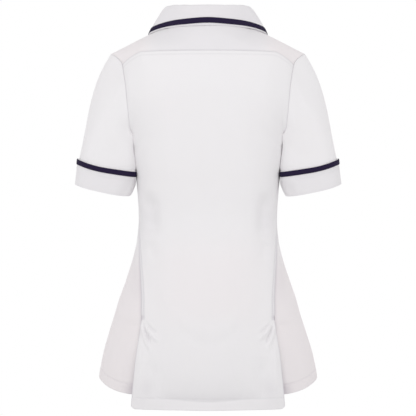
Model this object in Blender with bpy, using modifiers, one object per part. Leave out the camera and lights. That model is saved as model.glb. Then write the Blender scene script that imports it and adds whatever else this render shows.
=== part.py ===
"""Short-sleeved medical tunic, filled out as if worn.

Sizes are in millimetres and become metres when a mesh is made. +Z is up, the front faces -Y, and the
wearer's left is +X. The origin lies between the shoulders, level with the low end of the collar.
"""

import math

import bpy
import numpy as np
from mathutils.bvhtree import BVHTree

MM = 0.001
CLOTH = 1.2  # wall of a single panel
BAND = 1.8  # wall of a turned-up cuff
BRAID = 0.8  # wall of the navy braid
SEAM = 0.3  # gap between pieces
LAP_LIFT = (CLOTH + 3 * SEAM) / 2  # how far each front moves off the middle surface where they overlap
OVERLAP = 12.0  # how far each front runs past the centre line
UNDERLAP = 12.0  # how far the front runs behind the back at a vent

# Closed sections of the body. width is the half-width, back and front the depths from the side line, full
# how far the section stands out from an ellipse at its corners, and seam how far the side seam lies from
# the middle of the back.
RINGS = {
    "columns": ("z", "width", "back", "front", "full", "seam"),
    "rows": (
        (-690, 207, 128, 128, 0, 137),
        (-660, 206, 127, 128, 0, 135.6),
        (-640, 204.5, 126, 127, 0, 134),
        (-600, 197.5, 124, 124, 0, 130.5),
        (-560, 186, 121, 121, 0, 125.5),
        (-525, 175, 117, 118, 0, 121),
        (-492, 165.5, 112, 115, 0, 121),
        (-460, 154.5, 106, 112, 0.01, 122.5),
        (-421, 142, 98, 108, 0.03, 125.5),
        (-384, 133.5, 91, 105, 0.05, 127.5),
        (-340, 130, 88, 105, 0.07, 129.2),
        (-290, 132.6, 92, 111, 0.09, 132.3),
        (-245, 137.6, 97, 119, 0.1, 137.4),
        (-205, 143.4, 100, 124, 0.1, 143.2),
    ),
}
UNDERARM = -205
VENT_TOP = -525
BACK_HEM = -685.5
FRONT_HEM = -661
SIDE_RISE = 22.0  # how much higher the front's hem is at the side
VENT_FLARE = 4.0  # how far the back's lower corners stand out
VENT_TUCK = 2.4  # how far the front drops behind the back at the top of a vent
HEM_TUCK = 4.0  # and how much further at the hem

# Rows of the back from the underarm to the yoke seam: where each crosses the middle of the back, where it
# meets the armhole, and how many degrees of the section it follows.
BACK_ROWS = {
    "columns": ("row", "mid_y", "mid_z", "end_x", "end_y", "end_z", "angle", "full"),
    "rows": (
        (0, 100, -205, 143.2, -2.0, -205, 85.0, 0.1),
        (1, 101, -185, 143.4, 37, -192, 66, 0.1),
        (2, 102, -154, 144.8, 57, -166, 56, 0.1),
        (3, 102, -114, 148, 63, -131, 53, 0.1),
        (4, 97, -74, 152, 56, -93, 52, 0.09),
        (5, 87, -36.5, 158.5, 38, -58, 52, 0.06),
    ),
}

# Rows of a front from the underarm to the shoulder seam: the inner edge runs up the button edge, the roll
# line and the neckline, the outer edge up the armhole. straight turns the row from a curve into a line.
FRONT_ROWS = {
    "columns": ("row", "in_x", "in_y", "in_z", "end_x", "end_y", "end_z", "angle", "full", "straight"),
    "rows": (
        (0, -12, -123.5, -205, 143.2, -2.0, -205, 95.0, 0.1, 0),
        (1, -12, -123, -178, 142, -33, -190, 79, 0.1, 0),
        (2, -12, -119, -150, 139, -49, -163, 71, 0.1, 0),
        (3, 16, -103, -96, 137, -56, -124, 66, 0.09, 0),
        (4, 46, -72, -38, 145.5, -45, -78, 52, 0.07, 0),
        (5, 66.5, -40, -2, 163, -23, -51, 40, 0.03, 0.5),
        (6, 75, -5, 20, 182, 0, -34, 30, 0, 1),
    ),
}
YOKE_ROW = 5  # the back's last row, along the yoke seam
SEAM_BEND = 0.72  # share of the yoke seam that runs level before its ends drop to the armholes
GORGE_ROW = 4
SHOULDER_ROW = 6

NECK_SIDE = np.array((75.0, -5.0, 20.0))
SHOULDER_TIP = np.array((182.0, 0.0, -34.0))
NAPE = np.array((0.0, 64.0, 16.0))
NECK_SHARE = 0.44  # share of a yoke row that ends on the neckline; the rest ends on the shoulder seam

# Collar, from the middle of the back to the gorge seam: its fold and its outer edge.
COLLAR = {
    "columns": ("u", "fold_x", "fold_y", "fold_z", "edge_x", "edge_y", "edge_z"),
    "rows": (
        (-1, -41, 58, 49.5, -54.5, 59.5, 9.9),
        (0, 0, 67, 49, 0, 74, 10.8),
        (1, 41, 58, 49.5, 54.5, 59.5, 9.9),
        (2, 70, 32, 52, 96.5, 29, 4.6),
        (2.5, 79, 13.5, 52.8, 107.5, 14, 0.6),
        (3, 81.5, -5, 52.5, 112.6, -4, 1),
        (4, 77, -34, 34, 113.5, -25, -9),
        (5, 64.5, -59, 2, 109.5, -46, -23),
        (6, 49.5, -78.5, -32, 103, -66, -36),
    ),
}
NECK_GAP = 1.2  # between the collar's foot and the neckline
COLLAR_ROLL = 1.8  # half the width of the collar's folded edge
COLLAR_LOFT = 8.0  # how far the collar's fall bows out
LAPEL_LOFT = 2.6
LAPEL_GAP = 3.2  # between a lapel's top edge and the gorge seam
LAPEL_START = {1: 0.24, -1: 0.05}  # share of the roll line that each side's lapel leaves bare at the break
GORGE = (47.0, -36.0)  # x and z of the gorge seam's inner end
NOTCH = (84.0, -46.5)  # and where the collar's end leaves it
LAPEL_POINT = (105.0, -54.5)
LAPEL_BELLY = (58.0, -126.0)
BREAK_POINT = (-12.0, -150.0)

CUFF_TILT = 12.0  # degrees from level, seen from the front
CUFF_SWING = 8.5  # degrees, its back lower
CUFF_TOP = np.array((192.3, -3.0, -240.4))
CUFF_HEM = np.array((198.4, -8.0, -286.4))
SLEEVE_AXIS = np.array((10.5, -5.0, -46.0))  # the way it runs as it meets the cuff
SLEEVE_RADIUS = 50.6
CUFF_TAPER = 0.6  # how much smaller the cuff's radius is at its hem
TURN_UP = 0.16  # the share of the cuff that the sleeve runs inside it
CAP_REACH = 66.0  # how strongly the sleeve leaves the shoulder sideways
UNDERARM_REACH = 16.0
BRAID_WIDTH = 10.0
COLLAR_MARGIN = 3.2  # from the collar's edge to its braid

BUTTONS = {"radius": 7.5, "thickness": 3.0, "count": 6, "top": -160.0, "pitch": 79.0}


def read(table, value):
    """Every column of a table at this value of its first column, along curves that don't overshoot."""
    rows = np.array(table["rows"], float)
    keys, values = rows[:, 0], rows[:, 1:]
    steps = np.diff(keys)
    rises = np.diff(values, axis=0) / steps[:, None]
    slopes = np.zeros_like(values)
    slopes[0], slopes[-1] = rises[0], rises[-1]
    for i in range(1, len(keys) - 1):
        before, after = rises[i - 1], rises[i]
        same = before * after > 0
        before, after = np.where(same, before, 1), np.where(same, after, 1)
        mean = (steps[i] + steps[i - 1]) / (steps[i] / before + steps[i - 1] / after)
        slopes[i] = np.where(same, mean, 0)
    value = float(np.clip(value, keys[0], keys[-1]))
    i = int(np.clip(np.searchsorted(keys, value) - 1, 0, len(steps) - 1))
    t = (value - keys[i]) / steps[i]
    mixed = (
        (2 * t**3 - 3 * t**2 + 1) * values[i]
        + (t**3 - 2 * t**2 + t) * steps[i] * slopes[i]
        + (3 * t**2 - 2 * t**3) * values[i + 1]
        + (t**3 - t**2) * steps[i] * slopes[i + 1]
    )
    return dict(zip(table["columns"][1:], mixed))


def smooth(value, low, high):
    """0 below low, 1 above high, and an even rise between."""
    t = np.clip((value - low) / (high - low), 0, 1)
    return t * t * (3 - 2 * t)


def mix(a, b, t):
    return np.asarray(a, float) * (1 - t) + np.asarray(b, float) * t


def section(angle, full):
    """Across and deep on a unit section that stands out from the circle at its corners."""
    swell = 1 + full * math.sin(2 * angle) ** 2
    return math.sin(angle) * swell, math.cos(angle) * swell


def section_run(start, end, from_angle, to_angle, full, angle):
    """A point on the part of such a section that runs between two points."""
    first, last, here = (section(a, full) for a in (from_angle, to_angle, angle))
    across = (here[0] - first[0]) / (last[0] - first[0])
    deep = (here[1] - first[1]) / (last[1] - first[1])
    return np.array([mix(a, b, share) for a, b, share in zip(start, end, (across, deep, across))])


def hermite(start, leave, end, arrive, t):
    """A point on the cubic curve between two points, with the directions in which it leaves and arrives."""
    return (
        (2 * t**3 - 3 * t**2 + 1) * start
        + (t**3 - 2 * t**2 + t) * leave
        + (3 * t**2 - 2 * t**3) * end
        + (t**3 - t**2) * arrive
    )


# Body surface


def ring_point(z, angle):
    """A point of the body's closed section at this height; the angle runs from the middle of the front."""
    ring = read(RINGS, z)
    across, deep = section(angle, ring["full"])
    half_depth = (ring["back"] + ring["front"]) / 2
    return np.array((ring["width"] * across, (ring["back"] - ring["front"]) / 2 - half_depth * deep, z))


def ring_normal(z, angle):
    ring = read(RINGS, z)
    half_depth = (ring["back"] + ring["front"]) / 2
    normal = np.array((math.sin(angle) / ring["width"], -math.cos(angle) / half_depth, 0))
    return normal / np.linalg.norm(normal)


def seam_angle(z, inset=0.0):
    """Where the side seam lies on that section; a positive inset moves it towards the middle of the back."""
    ring = read(RINGS, z)
    angle = math.pi / 2
    for _ in range(8):
        swell = 1 + ring["full"] * math.sin(2 * angle) ** 2
        angle = math.pi - math.asin(min(1.0, (ring["seam"] - inset) / ring["width"] / swell))
    return angle


def back_point(level, t):
    """t runs from -1 to 1 across the back. level is a height up to the underarm, then a row above it."""
    share = abs(t)
    if level < 0:
        angle = math.pi - (math.pi - seam_angle(level)) * share
        spread = VENT_FLARE * smooth(-level, -VENT_TOP, -BACK_HEM) * smooth(share, 0.6, 1.0)
        point = ring_point(level, angle) + ring_normal(level, angle) * spread
    else:
        row = read(BACK_ROWS, level)
        middle = (0.0, row["mid_y"], row["mid_z"])
        end = (row["end_x"], row["end_y"], row["end_z"])
        to_angle = math.radians(row["angle"])
        point = section_run(middle, end, 0.0, to_angle, row["full"], to_angle * share)
        if level > YOKE_ROW - 1:
            drop = max(0.0, (share - SEAM_BEND) / (1 - SEAM_BEND)) ** 1.25
            point[2] = mix(point[2], mix(row["mid_z"], row["end_z"], drop), level - YOKE_ROW + 1)
    return point * (math.copysign(1, t), 1, 1)


def top_edge(t):
    """The yoke's upper edge: half the neckline, then the shoulder seam out to its tip."""
    share = abs(t)
    if share < NECK_SHARE:
        angle = share / NECK_SHARE * math.pi / 2
        across = math.sin(angle)
        return np.array(
            (
                NECK_SIDE[0] * across,
                mix(NECK_SIDE[1], NAPE[1], math.cos(angle)),
                mix(NAPE[2], NECK_SIDE[2], across**2),
            )
        )
    return mix(NECK_SIDE, SHOULDER_TIP, (share - NECK_SHARE) / (1 - NECK_SHARE))


def yoke_point(v, t):
    """v runs from the yoke seam to the neckline and shoulder seam."""
    share = abs(t)
    start, end = back_point(YOKE_ROW, share), top_edge(share)
    reach = float(np.linalg.norm(end - start))
    leave = start - back_point(YOKE_ROW - 0.2, share)
    leave *= reach / np.linalg.norm(leave)
    shoulder = smooth(share, 0.1, NECK_SHARE + 0.06)
    arrive = mix((0.0, -0.78, 0.62), (0.0, -1.0, 0.0), shoulder)
    arrive *= reach / np.linalg.norm(arrive)
    return hermite(start, 0.9 * leave, end, 0.9 * arrive, v) * (math.copysign(1, t), 1, 1)


def front_point(level, t):
    """The wearer's left front. t runs from -1 to 0 across the strip that overlaps, then on to 1."""
    if level < 0:
        lap = math.asin(OVERLAP / read(RINGS, level)["width"])
        under = UNDERLAP * smooth(-level, 20 - VENT_TOP, 70 - VENT_TOP)
        outer = seam_angle(level, under)
        angle = lap * (1 + 2 * t) if t < 0 else mix(lap, outer, t)
        off_side = min(math.pi / 2, 1.9 * abs(angle - math.pi / 2))
        height = level + SIDE_RISE * smooth(-level, 460, -FRONT_HEM) * math.cos(off_side) ** 2
        near_vent = smooth(t, 0.7, 0.97)
        tucked = near_vent * VENT_TUCK * smooth(-level, -VENT_TOP, 15 - VENT_TOP)
        tucked += near_vent * HEM_TUCK * smooth(-level, -VENT_TOP, -FRONT_HEM)
        return ring_point(height, angle) - ring_normal(height, angle) * tucked
    row = read(FRONT_ROWS, level)
    inner = np.array((row["in_x"], row["in_y"], row["in_z"]))
    end = np.array((row["end_x"], row["end_y"], row["end_z"]))
    to_angle = math.radians(row["angle"])
    reach = math.sin(min(to_angle, math.pi / 2)) / end[0]
    edge_angle, lap_angle = (math.asin(reach * x) for x in (inner[0], inner[0] + 2 * OVERLAP))
    angle = mix(lap_angle, edge_angle, -t) if t < 0 else mix(lap_angle, to_angle, t)
    curved = section_run(inner, end, edge_angle, to_angle, row["full"], angle)
    share = (curved[0] - inner[0]) / (end[0] - inner[0])
    past_lap = max(0.0, (curved[0] - inner[0] - 2 * OVERLAP) / (end[0] - inner[0] - 2 * OVERLAP))
    curved[2] = mix(inner[2], end[2], past_lap)
    return mix(curved, mix(inner, end, share), row["straight"])


def lapped(point, side):
    """Moves a front's overlap out on the wearer's right and in on the left: the right one lies on top."""
    near_centre = 1 - smooth(point[0], OVERLAP + 4, OVERLAP + 30)
    return (point + (0, LAP_LIFT * near_centre * side, 0)) * (side, 1, 1)


# Making solids


def material(name, colour, roughness):
    made = bpy.data.materials.new(name)
    made.use_nodes = True
    shader = made.node_tree.nodes["Principled BSDF"]
    shader.inputs["Base Color"].default_value = (*colour, 1)
    shader.inputs["Roughness"].default_value = roughness
    shader.inputs["Metallic"].default_value = 0
    return made


def panel(name, grid, thickness, finish, closed=False):
    """A sheet of cloth: an open grid of points, rows by columns, given its wall by Solidify."""
    grid = np.array(grid, float)
    rows, columns = grid.shape[:2]
    faces = []
    for i in range(rows - 1):
        for j in range(columns if closed else columns - 1):
            k = (j + 1) % columns
            faces.append((i * columns + j, i * columns + k, (i + 1) * columns + k, (i + 1) * columns + j))
    mesh = bpy.data.meshes.new(name)
    mesh.from_pydata((grid.reshape(-1, 3) * MM).tolist(), [], faces)
    mesh.materials.append(finish)
    mesh.shade_smooth()
    made = bpy.data.objects.new(name, mesh)
    tunic.objects.link(made)
    wall = made.modifiers.new("Wall", "SOLIDIFY")
    wall.thickness = thickness * MM
    wall.offset = 0
    return made


def trim(grid, bottom=0.0, top=0.0, first=0.0, last=0.0):
    """Draws the named borders of a grid in by these distances, along its own rows or columns."""
    grid = np.array(grid, float)
    for border, inside, amount in (
        (grid[0], grid[1], bottom),
        (grid[-1], grid[-2], top),
        (grid[:, 0], grid[:, 1], first),
        (grid[:, -1], grid[:, -2], last),
    ):
        away = inside - border
        border += away / np.linalg.norm(away, axis=-1, keepdims=True) * amount
    return grid


def eased(grid, first, last, edges):
    """Evens out the rows of a grid between two of them. The columns named as edges stay put, and their
    neighbours move half as far as the rest."""
    grid = np.array(grid, float)
    freedom = np.ones((1, grid.shape[1], 1))
    freedom[:, [edges[0] + 1, edges[-1] - 1]] = 0.5
    freedom[:, edges] = 0
    for _ in range(6):
        before, here, after = grid[first - 1 : last - 1], grid[first:last], grid[first + 1 : last + 1]
        low = np.linalg.norm(here - before, axis=2, keepdims=True)
        high = np.linalg.norm(after - here, axis=2, keepdims=True)
        grid[first:last] += (before + (after - before) * low / (low + high) - here) / 2 * freedom
    return grid


def surface_tree(*grids):
    """A tree of the faces of some grids, for finding the point of a panel behind a given place."""
    points, faces = [], []
    for grid in grids:
        grid = np.array(grid, float)
        rows, columns = grid.shape[:2]
        first = len(points)
        points += grid.reshape(-1, 3).tolist()
        for i in range(rows - 1):
            for j in range(columns - 1):
                a = first + i * columns + j
                faces.append((a, a + 1, a + columns + 1, a + columns))
    return BVHTree.FromPolygons(points, faces)


# Levels at which the panels have rows of points. The two sides of a seam share theirs.
SIDE_LEVELS = (-525, -492, -460, -421, -384, -340, -290, -245)
BACK_SKIRT = (BACK_HEM, -670, -640, -610, -575, -542)
FRONT_SKIRT = (FRONT_HEM, -640, -610, -575, -542)
ARMHOLE_BACK = np.linspace(0, YOKE_ROW, 10)
ARMHOLE_FRONT = np.linspace(0, SHOULDER_ROW, 12)
YOKE_STEPS = np.linspace(0, 1, 5)


def back_grid():
    levels = [*BACK_SKIRT, *SIDE_LEVELS, *ARMHOLE_BACK]
    grid = [[back_point(level, t) for t in np.linspace(-1, 1, 21)] for level in levels]
    return eased(grid, levels.index(-245), len(levels) - 3, [0, -1])


def yoke_grid():
    return np.array([[yoke_point(v, t) for t in np.linspace(-1, 1, 21)] for v in YOKE_STEPS])


def make_back(finish):
    grid = trim(back_grid(), top=0.8 * SEAM, first=SEAM / 2, last=SEAM / 2)
    panel("back", grid, CLOTH, finish)
    edges = {"bottom": 0.8 * SEAM, "top": 1.8 * SEAM, "first": SEAM / 2, "last": SEAM / 2}
    panel("back_yoke", trim(yoke_grid(), **edges), CLOTH, finish)


def front_grid():
    levels = [*FRONT_SKIRT, *SIDE_LEVELS, *ARMHOLE_FRONT]
    grid = [[front_point(level, t) for t in (-1, *np.linspace(0, 1, 12))] for level in levels]
    return eased(grid, levels.index(-245), len(levels) - 3, [0, 1, -1])


def make_front(side, finish):
    grid = trim(front_grid(), top=1.4 * SEAM, last=0.8 * SEAM)
    grid = np.array([[lapped(point, side) for point in row] for row in grid])
    panel(f"front_{SIDE_NAMES[side]}", grid if side < 0 else grid[:, ::-1], CLOTH, finish)


# Sleeves


def armhole():
    """The wearer's left armhole, from the underarm up the back, over the tip and down the front.

    Returns its points, the body's outward normal at each, and which one is the tip.
    """
    points, normals = [], []
    spans = ((back_point, ARMHOLE_BACK), (yoke_point, YOKE_STEPS[1:]), (front_point, ARMHOLE_FRONT[-2:0:-1]))
    for surface, levels in spans:
        for level in levels:
            point = surface(level, 1.0)
            lower = level - 0.15 if level > 0.15 else UNDERARM - 6
            normal = np.cross(surface(lower, 1.0) - point, surface(level, 0.94) - point)
            normal /= np.linalg.norm(normal)
            outwards = np.dot(normal, point - (0, 0, UNDERARM)) > 0
            points.append(point)
            normals.append(normal if outwards else -normal)
    return np.array(points), np.array(normals), len(ARMHOLE_BACK) + len(YOKE_STEPS) - 2


def hoop(along, radius, angles):
    """Points round the cuff's axis, at this share of its height; a quarter turn from the inner side is
    the back."""
    tilt, swing = math.radians(CUFF_TILT), math.radians(CUFF_SWING)
    outwards = np.array((math.cos(tilt), 0, math.sin(tilt)))
    backwards = np.array((0, math.cos(swing), -math.sin(swing)))
    centre = mix(CUFF_TOP, CUFF_HEM, along)
    return np.array(
        [centre - radius * math.cos(a) * outwards + radius * math.sin(a) * backwards for a in angles]
    )


def hoop_angles():
    """One angle for each point of the armhole, spread by its length, the shoulder tip half way round."""
    ring, _, tip = armhole()
    steps = np.linalg.norm(np.roll(ring, -1, axis=0) - ring, axis=1)
    along = np.concatenate([[0], np.cumsum(steps)])
    rising = along[: tip + 1] / along[tip] * math.pi
    falling = math.pi + (along[tip + 1 : -1] - along[tip]) / (along[-1] - along[tip]) * math.pi
    return np.concatenate([rising, falling])


def sleeve_grid(steps):
    """Rows from the armhole to the cuff, and one a little way inside it."""
    ring, normals, _ = armhole()
    angles = hoop_angles()
    axis = SLEEVE_AXIS / np.linalg.norm(SLEEVE_AXIS)
    ends = hoop(-0.06, SLEEVE_RADIUS, angles)
    columns = []
    for start, normal, end, angle, before, after in zip(
        ring, normals, ends, angles, np.roll(ring, 1, axis=0), np.roll(ring, -1, axis=0)
    ):
        chord = end - start
        cap = (1 - math.cos(angle)) / 2
        leave = 0.8 * chord + (mix(UNDERARM_REACH, CAP_REACH, cap), 0, 0)
        arrive = 0.95 * np.linalg.norm(chord) * axis
        start = start + clearance(leave, normal, after - before)
        columns.append([hermite(start, leave, end, arrive, t) for t in steps])
    inside = hoop(TURN_UP, SLEEVE_RADIUS - CUFF_TAPER * TURN_UP, angles)
    return np.concatenate([np.array(columns).transpose(1, 0, 2), [inside]])


def clearance(leave, normal, seam):
    """The step off the armhole that keeps a sleeve's wall clear of the body's, at any angle between them."""
    seam = seam / np.linalg.norm(seam)
    inwards = np.cross(seam, normal)
    inwards /= np.linalg.norm(inwards)
    away = leave - seam * np.dot(leave, seam)
    away /= np.linalg.norm(away)
    fold = float(np.dot(away, inwards))
    gap = 1.6 * SEAM
    if fold < 0:
        return away * (gap + CLOTH / 2 * math.sqrt(max(0.0, 1 - fold * fold)))
    aside = away - inwards * fold
    return aside / np.linalg.norm(aside) * (gap + CLOTH / 2 * (1 + fold))


def make_sleeve(side, finish, trim_finish):
    name = SIDE_NAMES[side]
    angles = hoop_angles()
    mirror = np.array((side, 1, 1))

    def turned(grid):
        return grid * mirror if side > 0 else (grid * mirror)[:, ::-1]

    steps = np.linspace(0, 1, 8) ** 1.15
    panel(f"sleeve_{name}", turned(sleeve_grid(steps)), CLOTH, finish, closed=True)
    cuff = SLEEVE_RADIUS + CLOTH / 2 + SEAM + BAND / 2
    rows = [hoop(h, cuff - CUFF_TAPER * h, angles) for h in (0.0, 0.2, 0.6, 1.0)]
    panel(f"cuff_{name}", turned(np.array(rows)), BAND, finish, closed=True)
    strip = cuff + BAND / 2 + SEAM + BRAID / 2
    ends = (0.0, BRAID_WIDTH / np.linalg.norm(CUFF_HEM - CUFF_TOP))
    rows = [hoop(h, strip - CUFF_TAPER * h, angles) for h in ends]
    panel(f"cuff_braid_{name}", turned(np.array(rows)), BRAID, trim_finish, closed=True)


# Collar and lapels


def neckline(u):
    """The edge of the yoke, then of the front, that the collar is sewn to."""
    if u < 3:
        return top_edge(NECK_SHARE * u / 3)
    return front_point(mix(SHOULDER_ROW, GORGE_ROW, (u - 3) / 3), -1)


def lifted(point, tree, gap):
    """Moves a point out along the panel's normal until it is at least this far from it."""
    place, normal, _, _ = tree.find_nearest(point)
    normal = np.array(normal)
    if np.dot(normal, np.array(place) - (0, 0, UNDERARM)) < 0:
        normal = -normal
    height = float(np.dot(point - np.array(place), normal))
    return point + normal * max(0.0, gap - height)


def collar_section(u, tree):
    """Points from the neckline up the stand, over the fold, and down the fall to the outer edge."""
    size = read(COLLAR, abs(u))
    fold, edge = (np.array([size[f"{part}_{axis}"] for axis in "xyz"]) for part in ("fold", "edge"))
    neck = neckline(abs(u))
    rise = fold - neck
    neck = neck + rise / np.linalg.norm(rise) * NECK_GAP
    out = edge - fold
    half_fold = out * (1, 1, 0) / np.linalg.norm(out[:2]) * COLLAR_ROLL
    inner_roll, outer_roll = fold - half_fold - (0, 0, 1.5), fold + half_fold - (0, 0, 1.5)
    points = [neck, mix(neck, inner_roll, 0.5), inner_roll, fold, outer_roll]
    belly = np.cross(np.cross(out, (0, 0, 1)), out)
    belly *= COLLAR_LOFT / np.linalg.norm(belly)
    at_end = smooth(abs(u), 4.6, 6.0)
    for share in (0.3, 0.6, 0.82, 1.0):
        point = mix(outer_roll, edge, share) + belly * share * (1 - share)
        along_gorge = min(1.0, (point[0] - GORGE[0]) / (NOTCH[0] - GORGE[0]))
        gorge_z = mix(GORGE[1], NOTCH[1], along_gorge) + max(0.0, point[0] - NOTCH[0]) * 0.55
        point[2] = mix(point[2], gorge_z, at_end)
        hit = tree.ray_cast((point[0], -400.0, point[2]), (0, 1, 0))[0]
        if at_end > 0:
            point[1] = mix(point[1], hit[1] - 2.7 * CLOTH, at_end)
        points.append(lifted(point, tree, CLOTH + (2.8 + at_end) * SEAM))
    return np.array(points) * (math.copysign(1, u) if u else 1, 1, 1)


def collar_grid(tree):
    half = (0.35, 0.75, 1.15, 1.6, 2.05, 2.5, 3.0, 3.5, 4.0, 4.4, 4.8, 5.2, 5.6, 6.0)
    stations = (*(-u for u in half[::-1]), 0.0, *half)
    return np.array([collar_section(u, tree) for u in stations])


def normals_of(grid):
    """The normal at each point of a grid."""
    along = np.gradient(grid, axis=0)
    across = np.gradient(grid, axis=1)
    found = np.cross(along, across)
    return found / np.linalg.norm(found, axis=2, keepdims=True)


def make_collar(finish, trim_finish, tree):
    grid = collar_grid(tree)
    panel("collar", grid, CLOTH, finish)
    fall, raised = grid[:, 4:], normals_of(grid)[:, 4:] * (CLOTH / 2 + 3.1 * SEAM + BRAID / 2)
    if raised[len(raised) // 2, -1, 1] < 0:
        raised = -raised
    rows = []
    for points, normals in zip(fall, raised):
        from_edge = np.concatenate([[0], np.cumsum(np.linalg.norm(np.diff(points[::-1], axis=0), axis=1))])
        outer = np.array((points + normals)[::-1])
        wanted = np.array((COLLAR_MARGIN, COLLAR_MARGIN + BRAID_WIDTH / 2, COLLAR_MARGIN + BRAID_WIDTH))
        rows.append([[np.interp(d, from_edge, outer[:, axis]) for axis in range(3)] for d in wanted])
    panel("collar_braid", trim(np.array(rows), bottom=2 * SEAM, top=2 * SEAM), BRAID, trim_finish)


def make_lapel(side, finish, front_tree):
    """The turned-back top of a front, from the roll line to its free edge and up to the gorge seam."""
    break_point, belly, tip = (np.array(place) for place in (BREAK_POINT, LAPEL_BELLY, LAPEL_POINT))
    gorge = np.array(GORGE) - (0, LAPEL_GAP)
    grid = []
    for a in np.linspace(LAPEL_START[side], 1, 8):
        roll = mix(break_point, gorge, a)
        free = (1 - a) ** 2 * break_point + 2 * a * (1 - a) * belly + a * a * tip
        row = []
        for w in np.linspace(0, 1, 6):
            x, z = mix(roll, free, w)
            hit = front_tree.ray_cast((max(x, -OVERLAP + 0.2) + 0.4, -400.0, z), (0, 1, 0))[0]
            lift = CLOTH + 2.9 * SEAM + LAPEL_LOFT * math.sin(math.pi * w ** 0.8)
            row.append(lapped(lifted(np.array(hit), front_tree, lift), side))
        grid.append(row)
    panel(f"lapel_{SIDE_NAMES[side]}", np.array(grid)[:, ::side], CLOTH, finish)


def make_buttons(finish, front_tree):
    for i in range(BUTTONS["count"]):
        z = BUTTONS["top"] - i * BUTTONS["pitch"]
        slope = front_tree.ray_cast((0, -400.0, z), (0, 1, 0))
        place, normal = np.array(slope[0]), np.array(slope[1])
        normal *= -math.copysign(1, normal[1])
        place[1] -= LAP_LIFT
        place += normal * (CLOTH / 2 + SEAM + 0.1 + BUTTONS["thickness"] / 2)
        bpy.ops.mesh.primitive_cylinder_add(
            vertices=14, radius=BUTTONS["radius"] * MM, depth=BUTTONS["thickness"] * MM, location=place * MM
        )
        button = bpy.context.object
        button.name = f"button_{i + 1}"
        lean = math.asin(normal[2])
        button.rotation_euler = (math.pi / 2 - lean, 0, 0)
        button.data.materials.append(finish)
        rim = button.modifiers.new("Rim", "BEVEL")
        rim.width = 0.7 * MM
        rim.segments = 1
        for home in list(button.users_collection):
            home.objects.unlink(button)
        tunic.objects.link(button)


SIDE_NAMES = {1: "left", -1: "right"}

for old in list(bpy.data.objects):
    bpy.data.objects.remove(old)
tunic = bpy.data.collections.new("medical_tunic")
bpy.context.scene.collection.children.link(tunic)
white = material("white_polycotton", (0.86, 0.86, 0.87), 0.85)
navy = material("navy_braid", (0.02, 0.014, 0.06), 0.7)
plastic = material("white_button", (0.88, 0.88, 0.88), 0.35)

left_front = surface_tree(front_grid())
make_back(white)
for each_side in SIDE_NAMES:
    make_front(each_side, white)
    make_sleeve(each_side, white, navy)
    make_lapel(each_side, white, left_front)
make_collar(white, navy, surface_tree(front_grid(), yoke_grid()))
make_buttons(plastic, left_front)
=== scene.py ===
import math

import bpy
import numpy as np
from mathutils.bvhtree import BVHTree
from numpy.linalg import norm
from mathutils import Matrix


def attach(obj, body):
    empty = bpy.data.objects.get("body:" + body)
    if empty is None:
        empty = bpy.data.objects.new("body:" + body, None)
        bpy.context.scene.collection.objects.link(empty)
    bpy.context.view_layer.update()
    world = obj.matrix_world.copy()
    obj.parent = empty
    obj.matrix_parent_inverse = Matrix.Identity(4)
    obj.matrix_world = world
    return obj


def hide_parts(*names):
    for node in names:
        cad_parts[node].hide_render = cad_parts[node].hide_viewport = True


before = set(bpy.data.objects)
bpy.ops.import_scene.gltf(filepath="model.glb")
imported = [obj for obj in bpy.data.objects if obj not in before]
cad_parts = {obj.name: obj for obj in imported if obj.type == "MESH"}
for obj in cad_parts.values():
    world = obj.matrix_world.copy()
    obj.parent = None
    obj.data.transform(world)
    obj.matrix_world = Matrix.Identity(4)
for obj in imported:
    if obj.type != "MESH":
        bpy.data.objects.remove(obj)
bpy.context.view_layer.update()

# --------------------
# White cloth. The whole tunic is cut from one white polyester and cotton twill of about 210 g a
# square metre. It has a fine diagonal rib, a soft nap and a faint unevenness where it was pressed.

RIB_PITCH = 0.00085
PICK_PITCH = 0.0006
# the cloth's whites; the warm one serves both its own uneven tone and a painted warm bounce light
COOL_WHITE = (0.85, 0.838, 0.852, 1)
WARM_WHITE = (0.85, 0.806, 0.818, 1)
# the colour towards which painted shade darkens the cloth
PAINTED_SHADE_TINT = (0.72, 0.7, 0.74, 1)
SLUB_SHADE = (0.7, 0.7, 0.74, 1)


class Thread:
    """An output among a finish's nodes. Sums and products of threads add Math nodes."""

    def __init__(self, tree, socket=None):
        self.tree, self.socket = tree, socket

    def node(self, kind, settings=(), sockets=(), output=0):
        """Adds any other node: its settings first, then the values or links of its sockets."""
        made = self.tree.nodes.new("ShaderNode" + kind)
        for name, value in dict(settings).items():
            setattr(made, name, value)
        for name, value in dict(sockets).items():
            if isinstance(value, Thread):
                self.tree.links.new(value.socket, made.inputs[name])
            else:
                made.inputs[name].default_value = value
        return Thread(self.tree, made.outputs[output])

    def sum(self, operation, first, second=0.0):
        return self.node("Math", {"operation": operation}, {0: first, 1: second})

    def __add__(self, other):
        return self.sum("ADD", self, other)

    __radd__ = __add__

    def __sub__(self, other):
        return self.sum("SUBTRACT", self, other)

    def __rsub__(self, other):
        return self.sum("SUBTRACT", other, self)

    def __mul__(self, other):
        return self.sum("MULTIPLY", self, other)

    __rmul__ = __mul__

    def part(self, axis):
        return self.node("SeparateXYZ", (), {0: self}, axis)

    def wave(self, pitch):
        return self.sum("SINE", self * (2 * math.pi / pitch))

    def noise(self, scale, detail=2.0, **sockets):
        return self.node("TexNoise", (), {"Scale": scale, "Detail": detail} | sockets)

    def dyed(self, share, first, second, blend="MIX"):
        """One colour turned into another by a share. 6, 7 and 2 are a Mix node's colour sockets."""
        settings = {"data_type": "RGBA", "blend_type": blend}
        return self.node("Mix", settings, {0: share, 6: first, 7: second}, 2)

    def feed(self, shader, name):
        self.tree.links.new(self.socket, shader.inputs[name])


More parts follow.
